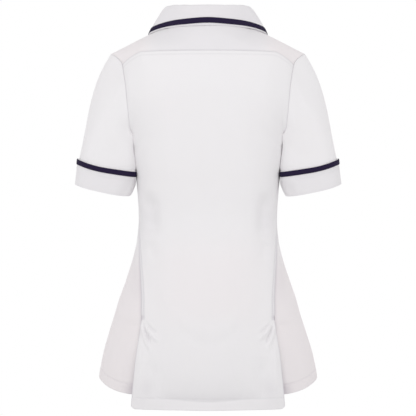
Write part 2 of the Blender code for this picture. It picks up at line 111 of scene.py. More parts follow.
def new_finish(name, roughness, sheen):
    """A material, its shader, and a thread from which its other nodes start."""
    made = bpy.data.materials.new(name)
    made.use_nodes = True
    shader = made.node_tree.nodes["Principled BSDF"]
    levels = {"Roughness": roughness, "Specular IOR Level": 0.25}
    levels |= {"Sheen Weight": sheen, "Sheen Roughness": 0.6}
    for socket, level in levels.items():
        shader.inputs[socket].default_value = level
    return made, shader, Thread(made.node_tree)


white_twill, twill_shader, yarn = new_finish("white_twill", 0.9, 0.12)
weave = yarn.node("UVMap", {"uv_map": "weave"})
across, along = weave.part("X"), weave.part("Y")
patches = yarn.noise(9.0, Vector=yarn.node("TexCoord", output="Object"))
slubs = yarn.noise(700.0, Vector=weave, Roughness=0.7)
# Painted light rides on the cloth's colour: a painted shade darkens it where shade falls in seams, stitch
# lines, hollows, creases and gaps between parts, and a painted warm bounce light tints it where light
# comes back off nearby cloth. The faint patches and slubs are the cloth's own uneven tone.
painted_shade = yarn.node("Attribute", {"attribute_name": "painted_shade"}, output="Fac")
painted_bounce = yarn.node("Attribute", {"attribute_name": "painted_bounce"}, output="Fac")
tone_and_bounce = yarn.dyed(patches * 0.3 + painted_bounce, COOL_WHITE, WARM_WHITE)
shaded = yarn.dyed(painted_shade, tone_and_bounce, PAINTED_SHADE_TINT, "MULTIPLY")
yarn.dyed(0.05 * slubs, shaded, SLUB_SHADE, "MULTIPLY").feed(twill_shader, "Base Color")
ribs = (across + along * 1.6).wave(RIB_PITCH)
picks = (along - across * 0.5).wave(PICK_PITCH)
nap = ribs * 0.5 + picks * 0.2 + slubs * 1.2
yarn.node("Bump", (), {"Strength": 0.5, "Distance": 0.0001, "Height": nap}).feed(twill_shader, "Normal")

# --------------------
# Back. One panel from the yoke seam to the hem. Its sides curve with the waist, are stitched flat to
# the fronts as far as the vents, and hang free below them. The hem is turned up 20 mm and stitched.

MM = 0.001
WALL = 0.6
STITCH_LIFT = WALL / 2 + 0.1
UNDERARM = -205
EASE_FROM = -255
VENT_TOP = -525
HEM_BAND = 20.0
BACK_HEM = -685.5
YOKE_ROW = 5
SEAM_BEND = 0.72
SIDE_STITCH = 5.0
YOKE_STITCH = 7.0
BAR_TACK = (119, -523)
HOLLOW_TOP = 55.0
HOLLOW_DEPTH = 8.0


def smooth(value, low, high):
    """0 below low, 1 above high, and an even rise between."""
    t = np.clip((np.asarray(value, float) - low) / (high - low), 0, 1)
    return t * t * (3 - 2 * t)


def fade(value, low, high):
    """1 below low, 0 above high, and an even fall between."""
    return 1 - smooth(value, low, high)


def near(distance, reach, power=2):
    """1 on a line or a spot, and little is left of it beyond its reach."""
    return np.exp(-(np.abs(distance / reach) ** power))


def mix(a, b, t):
    return np.asarray(a, float) * (1 - t) + np.asarray(b, float) * t


def unit(vectors):
    return vectors / norm(vectors, axis=-1, keepdims=True)


def bend(start, leave, end, arrive, t):
    """A cubic curve between two points that leaves and arrives in these directions."""
    return (
        (2 * t**3 - 3 * t**2 + 1) * start
        + (t**3 - 2 * t**2 + t) * leave
        + (3 * t**2 - 2 * t**3) * end
        + (t**3 - t**2) * arrive
    )


class Sizes:
    """A short table of sizes, read at any level along curves that don't overshoot."""

    def __init__(self, columns, *rows):
        self.columns = columns.split()
        self.rows = np.array(rows, float)

    def __call__(self, level, *names):
        names = names or self.columns[1:]
        keys, values = self.rows[:, 0], self.rows[:, [self.columns.index(name) for name in names]]
        steps, rises = np.diff(keys), np.diff(values, axis=0) / np.diff(keys)[:, None]
        slopes = np.zeros_like(values)
        slopes[0], slopes[-1] = rises[0], rises[-1]
        same = rises[:-1] * rises[1:] > 0
        before, after = np.where(same, rises[:-1], 1), np.where(same, rises[1:], 1)
        early, late = steps[:-1, None], steps[1:, None]
        slopes[1:-1] = np.where(same, (late + early) / (late / before + early / after), 0)
        level = np.clip(level, keys[0], keys[-1])
        i = np.clip(np.searchsorted(keys, level) - 1, 0, len(steps) - 1)
        t, step = ((level - keys[i]) / steps[i])[..., None], steps[i][..., None]
        found = bend(values[i], step * slopes[i], values[i + 1], step * slopes[i + 1], t)
        return found[..., 0] if len(names) == 1 else list(np.moveaxis(found, -1, 0))


# sizes are in millimetres; a level below 0 is a height, and one from 0 up is a row of a table
body = Sizes(
    "z width back front full seam",
    (-690, 207, 128, 128, 0, 137),
    (-660, 206, 127, 128, 0, 135.6),
    (-640, 204.5, 126, 127, 0, 134),
    (-600, 197.5, 124, 124, 0, 130.5),
    (-560, 186, 121, 121, 0, 125.5),
    (-525, 175, 117, 118, 0, 121),
    (-492, 165.5, 112, 115, 0, 121),
    (-460, 154.5, 106, 112, 0.01, 122.5),
    (-421, 142, 98, 108, 0.03, 125.5),
    (-384, 133.5, 91, 105, 0.05, 127.5),
    (-340, 130, 88, 105, 0.07, 129.2),
    (-290, 132.6, 92, 111, 0.09, 132.3),
    (-245, 137.6, 97, 119, 0.1, 137.4),
    (-205, 143.4, 100, 124, 0.1, 143.2),
)
back_rows = Sizes(
    "row mid_y mid_z end_x end_y end_z angle full",
    (0, 100, -205, 143.2, -2, -205, 85, 0.1),
    (1, 101, -185, 143.4, 37, -192, 66, 0.1),
    (2, 102, -154, 144.8, 57, -166, 56, 0.1),
    (3, 102, -114, 148, 63, -131, 53, 0.1),
    (4, 97, -74, 152, 56, -93, 52, 0.09),
    (5, 87, -36.5, 158.5, 38, -58, 52, 0.06),
)


def section(angle, full):
    """A point of a unit section, which is a circle with fuller corners."""
    swell = 1 + full * np.sin(2 * angle) ** 2
    return np.sin(angle) * swell, np.cos(angle) * swell


def body_point(z, angle):
    """A point of the body's section at a height; the angle runs from the middle of the front."""
    width, back, front, full = body(z, "width", "back", "front", "full")
    across, deep = section(angle, full)
    y = (back - front) / 2 - (back + front) / 2 * deep
    return np.stack([width * across, y, z + 0 * angle], axis=-1)


def body_normal(z, angle):
    width, back, front = body(z, "width", "back", "front")
    return unit(np.stack([np.sin(angle) / width, -np.cos(angle) * 2 / (back + front), 0 * angle], axis=-1))


def seam_angle(z, inset=0.0):
    """Where the side seam lies on the section; an inset moves it towards the middle of the back."""
    width, full, seam = body(z, "width", "full", "seam")
    angle = math.pi / 2
    for _ in range(8):
        swell = 1 + full * math.sin(2 * angle) ** 2
        angle = math.pi - math.asin(min(1.0, (seam - inset) / width / swell))
    return angle


def on_section(start, end, from_angle, to_angle, full, angle):
    """Points on the part of a section that runs between two points."""
    (x0, y0), (x1, y1), (x, y) = (section(a, full) for a in (from_angle, to_angle, angle))
    across, deep = (x - x0) / (x1 - x0), (y - y0) / (y1 - y0)
    return np.stack([mix(a, b, share) for a, b, share in zip(start, end, (across, deep, across))], axis=-1)


def mirrored(points, t):
    return points * np.where(t[:, None] < 0, (-1, 1, 1), 1)


def back_row(level, t):
    """The back at a level; t runs from -1 to 1 across it."""
    share = np.abs(t)
    if level < 0:
        angle = math.pi - (math.pi - seam_angle(level)) * share
        flare = 4.0 * smooth(-level, -VENT_TOP, -BACK_HEM) * smooth(share, 0.6, 1.0)
        point = body_point(level + 0 * t, angle) + body_normal(level + 0 * t, angle) * flare[:, None]
    else:
        mid_y, mid_z, *end, angle, full = back_rows(level)
        reach = math.radians(angle)
        point = on_section((0, mid_y, mid_z), end, 0.0, reach, full, reach * share)
        if level > YOKE_ROW - 1:
            drop = np.maximum(0.0, (share - SEAM_BEND) / (1 - SEAM_BEND)) ** 1.25
            point[:, 2] = mix(point[:, 2], mix(mid_z, end[2], drop), level - YOKE_ROW + 1)
    return mirrored(point, t)


def steps_between(*stops):
    """Levels or shares from one stop to the next, given as start, count, next, count, end."""
    runs = [np.linspace(a, b, n, endpoint=False) for a, n, b in zip(stops[::2], stops[1::2], stops[2::2])]
    return np.concatenate([*runs, [stops[-1]]])


def both_ways(steps):
    """Steps out from the middle, on both sides of it."""
    return np.concatenate([-steps[:0:-1], steps])


def eased(row_at, levels, shares, tries=160, kept=14):
    """A panel from its rows, without a crease at the underarm; its outer edges stay put."""
    grid = np.array([row_at(level, shares) for level in levels])
    reach = [smooth(z, EASE_FROM, UNDERARM - 10) if z < 0 else fade(z, 1.6, 3.4) for z in levels]
    from_start = np.arange(grid.shape[1])
    across = np.minimum(1, np.minimum(from_start, from_start[::-1]) / kept)
    freedom = (np.array(reach)[1:-1, None] * across)[..., None]
    for _ in range(tries):
        low = norm(grid[1:-1] - grid[:-2], axis=2, keepdims=True)
        high = norm(grid[2:] - grid[1:-1], axis=2, keepdims=True)
        grid[1:-1] += (grid[:-2] + (grid[2:] - grid[:-2]) * low / (low + high) - grid[1:-1]) / 2 * freedom
    return grid


def normals_of(grid, outwards):
    """The normal at each point of a grid, on the side that the given direction looks to."""
    found = np.cross(np.gradient(grid, axis=0), np.gradient(grid, axis=1))
    found /= norm(found, axis=2, keepdims=True) + 1e-12
    return found if (found * outwards).sum() > 0 else -found


def distances(grid):
    """How far each point lies from the grid's bottom, top, first and last edges, along the cloth."""
    rise, run = (norm(np.diff(grid, axis=axis), axis=2) for axis in (0, 1))
    up = np.pad(np.cumsum(rise, axis=0), ((1, 0), (0, 0)))
    over = np.pad(np.cumsum(run, axis=1), ((0, 0), (1, 0)))
    return up, up[-1:] - up, over, over[:, -1:] - over


def run_of(line):
    """How far along a line each of its points lies."""
    return np.concatenate([[0], np.cumsum(norm(np.diff(line, axis=0), axis=1))])


def read_off(points, distance, wanted):
    """The points at some distances, from points whose distances are known and rise."""
    return np.stack([np.interp(wanted, distance, points[:, k]) for k in range(3)], axis=-1)


def folds(across, height, *rows):
    """How far soft folds lift each point. A row is a line on the panel, its bow, width and depth."""
    lift = np.zeros_like(across)
    for from_s, from_z, to_s, to_z, bow, width, depth in rows:
        length = math.hypot(to_s - from_s, to_z - from_z)
        ds, dz = (to_s - from_s) / length, (to_z - from_z) / length
        along = ((across - from_s) * ds + (height - from_z) * dz) / length
        aside = (height - from_z) * ds - (across - from_s) * dz - bow * 4 * along * (1 - along)
        lift += depth * smooth(along, -0.2, 0.3) * fade(along, 0.7, 1.2) * near(aside, width)
    return lift


def sway(across, height, seed):
    """The slow unevenness of hanging cloth: a few long waves that never quite repeat."""
    random = np.random.default_rng(seed)
    lift = np.zeros_like(across)
    for length in (210.0, 130.0, 90.0, 60.0):
        turn, phase = random.uniform(-0.7, 0.7), random.uniform(0, 2 * math.pi)
        ripple = across * math.cos(turn) * 1.6 + height * math.sin(turn) * 0.6
        lift += np.sin(ripple / length * 2 * math.pi + phase) * 0.6 * length / 210
    return lift


def topstitched(distance, width, height):
    """A doubled band along an edge: it stands up a little and ends in the dip of its stitching."""
    return height * fade(distance, width - 1.0, width + 1.4) - 0.5 * near(distance - width, 1.1)


def joined(z):
    """How far the sides are stitched down, from the vents up to the waist."""
    return smooth(z, -530, -520) * smooth(-z, 330, 380)


def stitch_line(grid, normals, from_edge, wanted, upright=True):
    """A line of stitching at this distance from an upright edge, or else from a level one."""
    if not upright:
        grid, normals, from_edge = (np.swapaxes(values, 0, 1) for values in (grid, normals, from_edge))
    points, ups = [], []
    for row, normal, distance in zip(grid, normals, from_edge):
        if distance[0] > distance[-1]:
            row, normal, distance = row[::-1], normal[::-1], distance[::-1]
        up = unit(read_off(normal, distance, wanted))
        points.append(read_off(row, distance, wanted) + up * STITCH_LIFT)
        ups.append(up)
    return np.array(points), np.array(ups)


def placed(name, shape):
    """A new object in the scene, of a mesh, a lamp or a camera."""
    made = bpy.data.objects.new(name, shape)
    bpy.context.scene.collection.objects.link(made)
    return made


def new_piece(name, points, faces, finish):
    """A piece of the tunic from points in millimetres; the tunic is one body."""
    mesh = bpy.data.meshes.new(name)
    mesh.from_pydata((points * MM).tolist(), [], faces)
    mesh.materials.append(finish)
    mesh.shade_smooth()
    made = placed(name, mesh)
    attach(made, "root")
    return made


def sewn(name, grid, node, wall=WALL, closed=False, painted_shade=0, painted_bounce=0, braid=False):
    """A panel of cloth from a grid of points: its thread directions, painted shade and painted warm bounce
    light, wall and CAD node.
    """
    finish, slot = (navy_braid, "navy_braid") if braid else (white_twill, "white_cloth")
    rows, columns = grid.shape[:2]
    faces = []
    for i in range(0, (rows - 1) * columns, columns):
        for j in range(columns if closed else columns - 1):
            k = (j + 1) % columns
            faces.append((i + j, i + k, i + columns + k, i + columns + j))
    made = new_piece(name, grid.reshape(-1, 3), faces, finish)
    up, _, over, _ = distances(grid)
    middle = slice(columns // 2, columns // 2 + 1)
    weave = np.stack([over - over[:, middle], up[:, middle] + 0 * up], axis=-1) * MM
    flat = weave.reshape(-1, 2)[[corner for face in faces for corner in face]]
    made.data.uv_layers.new(name="weave").data.foreach_set("uv", flat.ravel().tolist())
    for attribute, values in (("painted_shade", painted_shade), ("painted_bounce", painted_bounce)):
        shade = np.clip(values + np.zeros((rows, columns)), 0, 1).ravel().tolist()
        made.data.attributes.new(attribute, "FLOAT", "POINT").data.foreach_set("value", shade)
    solid = made.modifiers.new("Wall", "SOLIDIFY")
    solid.thickness, solid.offset = wall * MM, 0
    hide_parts(node)
    return made


def stitched(name, *lines, pitch=3.2, length=2.3, gauge=0.5):
    """Rows of single stitches, each a slim lozenge lying along its line."""
    points, faces = [], []
    for line, ups in lines:
        run = run_of(line)
        places = np.arange(pitch / 2, run[-1], pitch)
        centres, up = read_off(line, run, places), read_off(ups, run, places)
        along = unit(read_off(line, run, places + 0.5) - read_off(line, run, places - 0.5))
        for c, a, u, s in zip(centres, along, up, np.cross(along, up)):
            first = len(points)
            points += [c - a * length / 2 - u * 0.15, c + a * length / 2 - u * 0.15]
            points += [c + s * gauge / 2, c + u * gauge / 2, c - s * gauge / 2, c - u * gauge / 2]
            for k in range(4):
                one, two = first + 2 + k, first + 2 + (k + 1) % 4
                faces += [(first, two, one), (first + 1, one, two)]
    return new_piece(name, np.array(points), faces, white_thread)


white_thread, thread_shader, ply = new_finish("white_thread", 0.6, 0.2)
thread_shader.inputs["Base Color"].default_value = (0.84, 0.83, 0.85, 1)
twist = ply.noise(2500.0, 1.0)
ply.node("Bump", (), {"Strength": 0.4, "Distance": 0.0001, "Height": twist}).feed(thread_shader, "Normal")

half_shares = steps_between(0.0, 24, 0.66, 26, 0.915, 12, 1.0)
back_shares = both_ways(half_shares)
below_underarm = steps_between(BACK_HEM, 22, -660, 16, -594, 32, VENT_TOP, 66, EASE_FROM, 22, UNDERARM)
back_levels = np.concatenate([below_underarm[:-1], steps_between(0, 44, 4.75, 8, YOKE_ROW)])
back_grid = eased(back_row, back_levels, back_shares)
from_hem, from_yoke, from_right, from_left = distances(back_grid)
from_side = np.minimum(from_right, from_left)
x, z = back_grid[..., 0], back_grid[..., 2]
from_tack = np.hypot(np.abs(x) - BAR_TACK[0], z - BAR_TACK[1])
# creases that fan out from the vents' tops
creases = folds(
    x, z,
    (-121.5, -534, -107, -578, -1, 3, 3.2), (-118, -535, -105, -567, -0.5, 2.2, -3.2),
    (-112, -538, -92, -560, -2, 2.8, 2.8), (-112, -531, -94, -547, -2, 2.4, -2.2),
    (121, -533, 105, -580, 1, 3, 3.4), (117.5, -533, 105.5, -566, 0.5, 2.2, -3.4),
    (112, -538, 92, -562, 2, 2.8, 3), (112, -531, 95, -546, 2, 2.4, -2.4),
)
relief = creases + sway(x, z, 3) * smooth(from_side, 0, 15)
relief += folds(
    x, z,
    # the hollows at the waist, and the small ridges across them
    (-107, -300, -103, -374, 0, 13, -8), (106, -302, 103, -372, 0, 13, -7.6),
    (-105, -384, -101, -420, 0, 10, -2.6), (105, -386, 101, -418, 0, 10, -2.4),
    (-126, -352, -96, -358, 2, 7, 0.9), (126, -354, 99, -359, 2, 7, 0.8),
    # the drag line under the seat
    (-84, -486, 82, -488, -60, 16, 1.1), (-66, -520, 64, -522, -44, 14, -0.7),
    # soft ridges beside the vents and dents inside them
    (-120, -565, -124, -668, 0, 8, 2.6), (121, -567, 124, -668, 0, 8, 2.4),
    (-98, -600, -104, -664, 2, 12, -3.4), (99, -604, 103, -664, -2, 12, -3.2),
)
# the hollow above the hem, where the cloth turns in under the seat
band = HEM_BAND - 5.0 * near(x, 62)
above_band = np.clip((from_hem - band) / HOLLOW_TOP, 0, 1)
in_hollow = np.where(from_hem > band, (1 - above_band) ** 2, mix(0.45, 1.0, from_hem / band))
relief -= HOLLOW_DEPTH * in_hollow * near(x, 88, 4)
relief -= 2.5 * (1 - np.minimum(1, from_hem / 110)) ** 2 * near(x, 95, 4)
# the stitched edges, the fullness below the armholes and the pull of the bar tacks
relief += topstitched(from_hem, HEM_BAND, 0.3) + topstitched(from_side, SIDE_STITCH, 0.35) * joined(z)
relief -= 0.4 * near(from_yoke - YOKE_STITCH, 1.2)
relief += 3.4 * near(z + 210, 26) * near(from_side - 26, 20)
relief -= 2.0 * near(from_tack, 4)
back_grid += normals_of(back_grid, (0, 1, 0)) * (relief * smooth(from_yoke, 0, 14))[..., None]
# the hem's rounded corners
back_grid[..., 2] += 5.0 * np.maximum(0, 1 - from_side / 9) ** 2 * np.maximum(0, 1 - from_hem / 14)

# Painted shade where shade falls: along the side and yoke seams and their stitching, in the hem's
# stitching and the hollow above it, in the dents inside the vents and the hollows at the waist, at the bar
# tacks and in the creases' troughs, and a little towards the hem.
under_arm = smooth(z, -262, -236) * fade(z, -196, -180)
painted_shade = 0.5 * near(from_side, 1.6) * (1 - under_arm) + 0.35 * near(from_yoke, 1.4)
painted_shade += (0.35 * near(from_side - SIDE_STITCH, 1.2) + 0.2 * fade(from_side, 5, 10)) * joined(z)
painted_shade += 0.15 * near(from_hem - HEM_BAND, 1.3) + 0.2 * near(from_yoke - YOKE_STITCH, 1.2)
painted_shade += 0.12 * near(from_hem - band - 5, 8) * near(x, 95, 4) * (from_hem > band)
painted_shade += 0.15 * near(np.abs(x) - 111, 12) * near(z + 648, 18) + 0.04 * fade(from_hem, 18, 60)
painted_shade += 0.14 * near(np.abs(x) - 108, 16) * near(z + 346, 28)
painted_shade += 0.6 * near(from_tack, 2.5) + 0.045 * np.maximum(0, -creases)
# painted warm bounce light over the seat
painted_bounce = 0.4 * near(x, 95, 4) * smooth(z, -560, -490) * fade(z, -430, -350)
back = sewn("back_panel", back_grid, "back", painted_shade=painted_shade, painted_bounce=painted_bounce)

normals = normals_of(back_grid, (0, 1, 0))
lines = [
    stitch_line(back_grid, normals, from_hem, HEM_BAND, upright=False),
    stitch_line(back_grid, normals, from_yoke, YOKE_STITCH, upright=False),
]
above_vent = z.mean(axis=1) > VENT_TOP
half = len(half_shares) - 1
for part, from_edge in ((slice(None, half), from_right), (slice(-half, None), from_left)):
    side_strip = (values[above_vent][:, part] for values in (back_grid, normals, from_edge))
    lines.append(stitch_line(*side_strip, SIDE_STITCH))
stitching = stitched("back_stitching", *lines)

# --------------------
# Yoke. It joins the back to the shoulders. The seam's allowance is turned down and stitched to the
# back.

NECK_SIDE = (75.0, -5.0, 20.0)
SHOULDER_TIP = (182.0, 0.0, -34.0)
NAPE = (0.0, 64.0, 16.0)
NECK_SHARE = 0.44


def yoke_top(share):
    """The yoke's upper edge: half the neckline, then the shoulder seam."""
    angle = np.minimum(share / NECK_SHARE, 1) * math.pi / 2
    across, deep = np.sin(angle), mix(NECK_SIDE[1], NAPE[1], np.cos(angle))
    neck = np.stack([NECK_SIDE[0] * across, deep, mix(NAPE[2], NECK_SIDE[2], across**2)], axis=-1)
    out = np.maximum(0, (share - NECK_SHARE) / (1 - NECK_SHARE))[:, None]
    return np.where(share[:, None] < NECK_SHARE, neck, mix(NECK_SIDE, SHOULDER_TIP, out))


def yoke_row(v, t):
    """v runs from the yoke seam up to the neckline and shoulder seam."""
    share = np.abs(t)
    start, end = back_row(YOKE_ROW, share), yoke_top(share)
    reach = 0.9 * norm(end - start, axis=1, keepdims=True)
    leave = unit(start - back_row(YOKE_ROW - 0.2, share)) * reach
    shoulder = smooth(share, 0.1, NECK_SHARE + 0.06)[:, None]
    arrive = unit(mix((0.0, -0.78, 0.62), (0.0, -1.0, 0.0), shoulder)) * reach
    return mirrored(bend(start, leave, end, arrive, v), t)


plain_yoke = np.array([yoke_row(v, back_shares) for v in steps_between(0.0, 10, 0.14, 26, 1.0)])
from_seam, from_neck, _, _ = distances(plain_yoke)
x, z = plain_yoke[..., 0], plain_yoke[..., 2]
relief = folds(
    x, z,
    (-70, -28, -20, -6, 4, 9, 0.8), (72, -30, 26, -8, 4, 9, 0.7),
    (-150, -44, -110, -12, 2, 8, -0.8), (150, -42, 112, -12, -2, 8, -0.7),
)
yoke_grid = plain_yoke + normals_of(plain_yoke, (0, 1, 1)) * (relief * smooth(from_neck, 0, 10))[..., None]
x = yoke_grid[..., 0]
# painted shade along the seam and over the middle of the yoke, and painted warm bounce light at its ends
painted_shade = 0.35 * near(from_seam, 1.4) + 0.22 * fade(np.abs(x), 80, 130)
yoke = sewn("yoke_panel", yoke_grid, "back_yoke", painted_shade=painted_shade, painted_bounce=0.75 * smooth(np.abs(x), 90, 130))

# --------------------
# Fronts. Two panels that button right over left and turn back above as lapels. Each wraps round the
# hip, passes behind the back at the vent, and has a rounded hem that rises at the side.

OVERLAP = 12.0
UNDERLAP = 12.0
LAP_LIFT = 0.75
FRONT_HEM = -661
SIDE_RISE = 22.0
FRONT_BAND = 18.0
FRONT_ROWS = 6
EDGE_STITCH = 6.0
BREAK = -152
SIDES = ((1, "left"), (-1, "right"))
front_rows = Sizes(
    "row in_x in_y in_z end_x end_y end_z angle full straight",
    (0, -12, -123.5, -205, 143.2, -2, -205, 95, 0.1, 0),
    (1, -12, -123, -178, 142, -33, -190, 79, 0.1, 0),
    (2, -12, -119, -150, 139, -49, -163, 71, 0.1, 0),
    (3, 16, -103, -96, 137, -56, -124, 66, 0.09, 0),
    (4, 46, -72, -38, 145.5, -45, -78, 52, 0.07, 0),
    (5, 66.5, -40, -2, 163, -23, -51, 40, 0.03, 0.5),
    (6, 75, -5, 20, 182, 0, -34, 30, 0, 1),
)


def front_row(level, t):
    """The wearer's left front. t runs from -1 to 0 across the overlap, then on to 1 at the outer edge."""
    if level < 0:
        lap = math.asin(OVERLAP / body(level, "width"))
        outer = seam_angle(level, UNDERLAP * smooth(-level, 20 - VENT_TOP, 70 - VENT_TOP))
        angle = np.where(t < 0, lap * (1 + 2 * t), mix(lap, outer, t))
        off_side = np.minimum(math.pi / 2, 1.9 * np.abs(angle - math.pi / 2))
        height = level + SIDE_RISE * smooth(-level, 460, -FRONT_HEM) * np.cos(off_side) ** 2
        tuck = 2.4 * smooth(-level, -VENT_TOP, 15 - VENT_TOP) + 4.0 * smooth(-level, -VENT_TOP, -FRONT_HEM)
        tuck = tuck * smooth(t, 0.7, 0.97)
        return body_point(height, angle) - body_normal(height, angle) * tuck[:, None]
    *places, angle, full, straight = front_rows(level)
    inner, end, outer = np.array(places[:3]), np.array(places[3:]), math.radians(angle)
    reach = math.sin(min(outer, math.pi / 2)) / end[0]
    edge, lap = math.asin(reach * inner[0]), math.asin(reach * (inner[0] + 2 * OVERLAP))
    angle = np.where(t < 0, mix(lap, edge, -t), mix(lap, outer, t))
    curved = on_section(inner, end, edge, outer, full, angle)
    run, width = curved[:, 0] - inner[0], end[0] - inner[0]
    past_lap = np.maximum(0.0, (run - 2 * OVERLAP) / (width - 2 * OVERLAP))
    curved[:, 2] = mix(inner[2], end[2], past_lap)
    return mix(curved, mix(inner, end, (run / width)[:, None]), straight)


def lapped(points, side):
    """Brings the right front out over the left one where they overlap, and mirrors it."""
    lift = LAP_LIFT * side * fade(points[..., 0], OVERLAP + 4, OVERLAP + 30)
    return (points + lift[..., None] * (0, 1, 0)) * (side, 1, 1)


def tree_of(*grids):
    """A tree of some panels' faces, for finding the place on them behind or nearest to a point."""
    points, faces = [], []
    for grid in grids:
        rows, columns = grid.shape[:2]
        corners = [len(points) + i * columns + j for i in range(rows - 1) for j in range(columns - 1)]
        points += grid.reshape(-1, 3).tolist()
        faces += [(a, a + 1, a + columns + 1) for a in corners]
        faces += [(a, a + columns + 1, a + columns) for a in corners]
    return BVHTree.FromPolygons(points, faces)


front_shares = steps_between(-1.0, 12, 0.0, 44, 0.955, 12, 1.0)
below_underarm = steps_between(FRONT_HEM, 20, -638, 28, VENT_TOP, 66, EASE_FROM, 22, UNDERARM)
front_levels = np.concatenate([below_underarm[:-1], steps_between(0, 66, FRONT_ROWS)])
plain_front = eased(front_row, front_levels, front_shares)
front_folds = {
    1: (
        (20, -560, 60, -655, 0, 16, 3.8), (100, -470, 120, -650, 3, 18, 4.4),
        (150, -450, 175, -640, 2, 14, -3.8), (195, -430, 215, -640, 2, 15, 2.6),
        (235, -520, 262, -640, 2, 9, -2), (100, -250, 150, -215, 4, 12, 1.4),
        (40, -390, 110, -350, 3, 9, 0.9), (12, -318, 60, -330, -2, 6, 1.1),
        (12, -476, 58, -462, 2, 7, 1), (118, -300, 122, -374, 0, 14, -6),
        (126, -388, 128, -424, 0, 11, -2.6), (96, -346, 146, -356, 2, 7, 1.2),
        (60, -262, 128, -222, 5, 11, 1.5),
    ),
    -1: (
        (26, -540, 50, -655, 0, 15, 3.6), (92, -480, 118, -650, -2, 17, 4.6),
        (146, -440, 170, -640, 2, 15, -3.6), (190, -450, 220, -640, 1, 14, 2.4),
        (238, -520, 262, -640, -2, 9, -1.8), (96, -256, 148, -218, 3, 12, 1.5),
        (36, -400, 100, -352, 3, 9, 0.8), (14, -398, 62, -408, -2, 6, 1),
        (14, -556, 60, -546, 2, 7, 0.9), (116, -304, 121, -370, 0, 14, -5.6),
        (127, -386, 126, -420, 0, 11, -2.4), (98, -352, 142, -360, 2, 7, 1.1),
        (54, -266, 122, -228, 4, 12, 1.4),
    ),
}
from_hem, from_shoulder, from_edge, from_seam = distances(plain_front)
height = plain_front[..., 2]
joined_edges = smooth(from_edge, 4, 34) * smooth(from_shoulder, 0, 20) * smooth(from_seam, -4, 12)
front_normals = normals_of(plain_front, (0, -1, 0))
front_grids = {}
for side, hand in SIDES:
    relief = sway(from_edge, height, 11 + side) + folds(from_edge, height, *front_folds[side])
    relief = relief * joined_edges + topstitched(from_hem, FRONT_BAND, 0.3)
    grid = plain_front + front_normals * relief[..., None]
    y, z = grid[..., 1], grid[..., 2]
    # painted shade at the seam and in the hem's stitching, then painted shadow where the cloth lies in the
    # back's shade beside the vent, and painted shade at the waist
    painted_shade = 0.2 * near(from_hem - FRONT_BAND, 1.3)
    painted_shade += 0.5 * near(from_seam, 4.0) * fade(z, -262, -236)
    painted_shade += 0.7 * fade(from_seam, 12, 26) * smooth(-z, 590, 640)
    painted_shade += 0.5 * fade(from_seam, 24, 44) * smooth(-z, 634, 652)
    painted_shade += 0.15 * near(z + 460, 32) * fade(from_seam, 15, 45)
    # painted warm bounce light on the sides below the waist, towards the back
    painted_bounce = 0.8 * smooth(-z, 380, 450) * smooth(y, -70, -10)
    grid = lapped(grid, side)
    front_grids[side] = grid
    panel = sewn(f"front_panel_{hand}", grid, f"front_{hand}", painted_shade=painted_shade, painted_bounce=painted_bounce)
    normals = normals_of(grid, (0, -1, 0))
    lines = [stitch_line(grid, normals, from_hem, FRONT_BAND, upright=False)]
    if side < 0:
        buttoned = (z[:, 0] < BREAK) & (z[:, 0] > FRONT_HEM + 2)
        lines.append(stitch_line(grid[buttoned], normals[buttoned], from_edge[buttoned], EDGE_STITCH))
    stitching = stitched(f"front_stitching_{hand}", *lines)

# --------------------
# Sleeves. Short set-in sleeves, cut in one piece with a seam under the arm, their cap eased into the
# armhole. They hang against the body.

CUFF_TILT = math.radians(12.0)
CUFF_SWING = math.radians(8.5)
CUFF_TOP = np.array((192.3, -3.0, -240.4))
CUFF_HEM = np.array((198.4, -8.0, -286.4))
CUFF_TAPER = 0.6
SLEEVE_AXIS = np.array((10.5, -5.0, -46.0))
SLEEVE_RADIUS = 50.6
SLEEVE_END = 0.14
SQUARED = 0.12
INNER_REACH = 0.03
DRAWN_IN = 13.0
ROUND = 120
# angles run round a sleeve from its inner side by way of the back
angles = np.linspace(0, 2 * math.pi, ROUND, endpoint=False)
# where a hoop is fuller or flatter than an even ring, and where it hangs higher or lower
FULLNESS = ((0.48, 0.26, 0.06), (0.0, 0.3, -0.02))
BOW = ((2.45, 0.42, 2.2), (0.5, 0.2, 1.0), (3.55, 0.32, -2.6), (-0.25, 0.28, -4.0))


def bumps(rows):
    """Low bumps round a hoop. A row is the bump's angle, width and height."""
    around = (angles + 1.0) % (2 * math.pi) - 1.0
    return sum(height * near(around - place, width) for place, width, height in rows)


def hoop(along, radius):
    """Points round the cuff, at a share of its height."""
    outwards = np.array((math.cos(CUFF_TILT), 0, math.sin(CUFF_TILT)))
    backwards = np.array((0, math.cos(CUFF_SWING), -math.sin(CUFF_SWING)))
    turn = np.sin(angles)[:, None] * backwards - np.cos(angles)[:, None] * outwards
    pressed = 1 + SQUARED * np.sin(2 * angles) ** 2
    pressed += INNER_REACH * (1 - 0.75 * along) * np.maximum(0, np.cos(angles)) ** 2
    centre = mix(CUFF_TOP, CUFF_HEM, along) + bumps(BOW)[:, None] * (0, 0, 1 - 0.5 * along)
    return centre + turn * ((pressed + bumps(FULLNESS)) * radius)[:, None]


def body_side(points):
    """How far out the body reaches at the height and depth of each point behind its middle."""
    width, back, front, full = body(np.minimum(points[..., 2], UNDERARM), "width", "back", "front", "full")
    depth = (points[..., 1] - (back - front) / 2) * 2 / (back + front)
    angle = np.full_like(depth, 2.0)
    for _ in range(6):
        swell = 1 + full * np.sin(2 * angle) ** 2
        angle = math.pi - np.arccos(np.clip(depth / swell, -0.99, 0.99))
    return width * section(angle, full)[0]


def beside_body(points, clearance, weight):
    """Draws the inner back of a sleeve in towards the body, which it lies against as it hangs."""
    around = np.degrees((angles + math.pi) % (2 * math.pi) - math.pi)
    share = smooth(around, -60, -10) * fade(around, 48, 100) * weight
    clear_of = body_side(points) + clearance + 2.8 * near(points[..., 2] + 210, 26)
    drawn = np.maximum(points[..., 0] - DRAWN_IN * share, clear_of)
    moved = points.copy()
    moved[..., 0] = np.minimum(points[..., 0], drawn)
    return moved


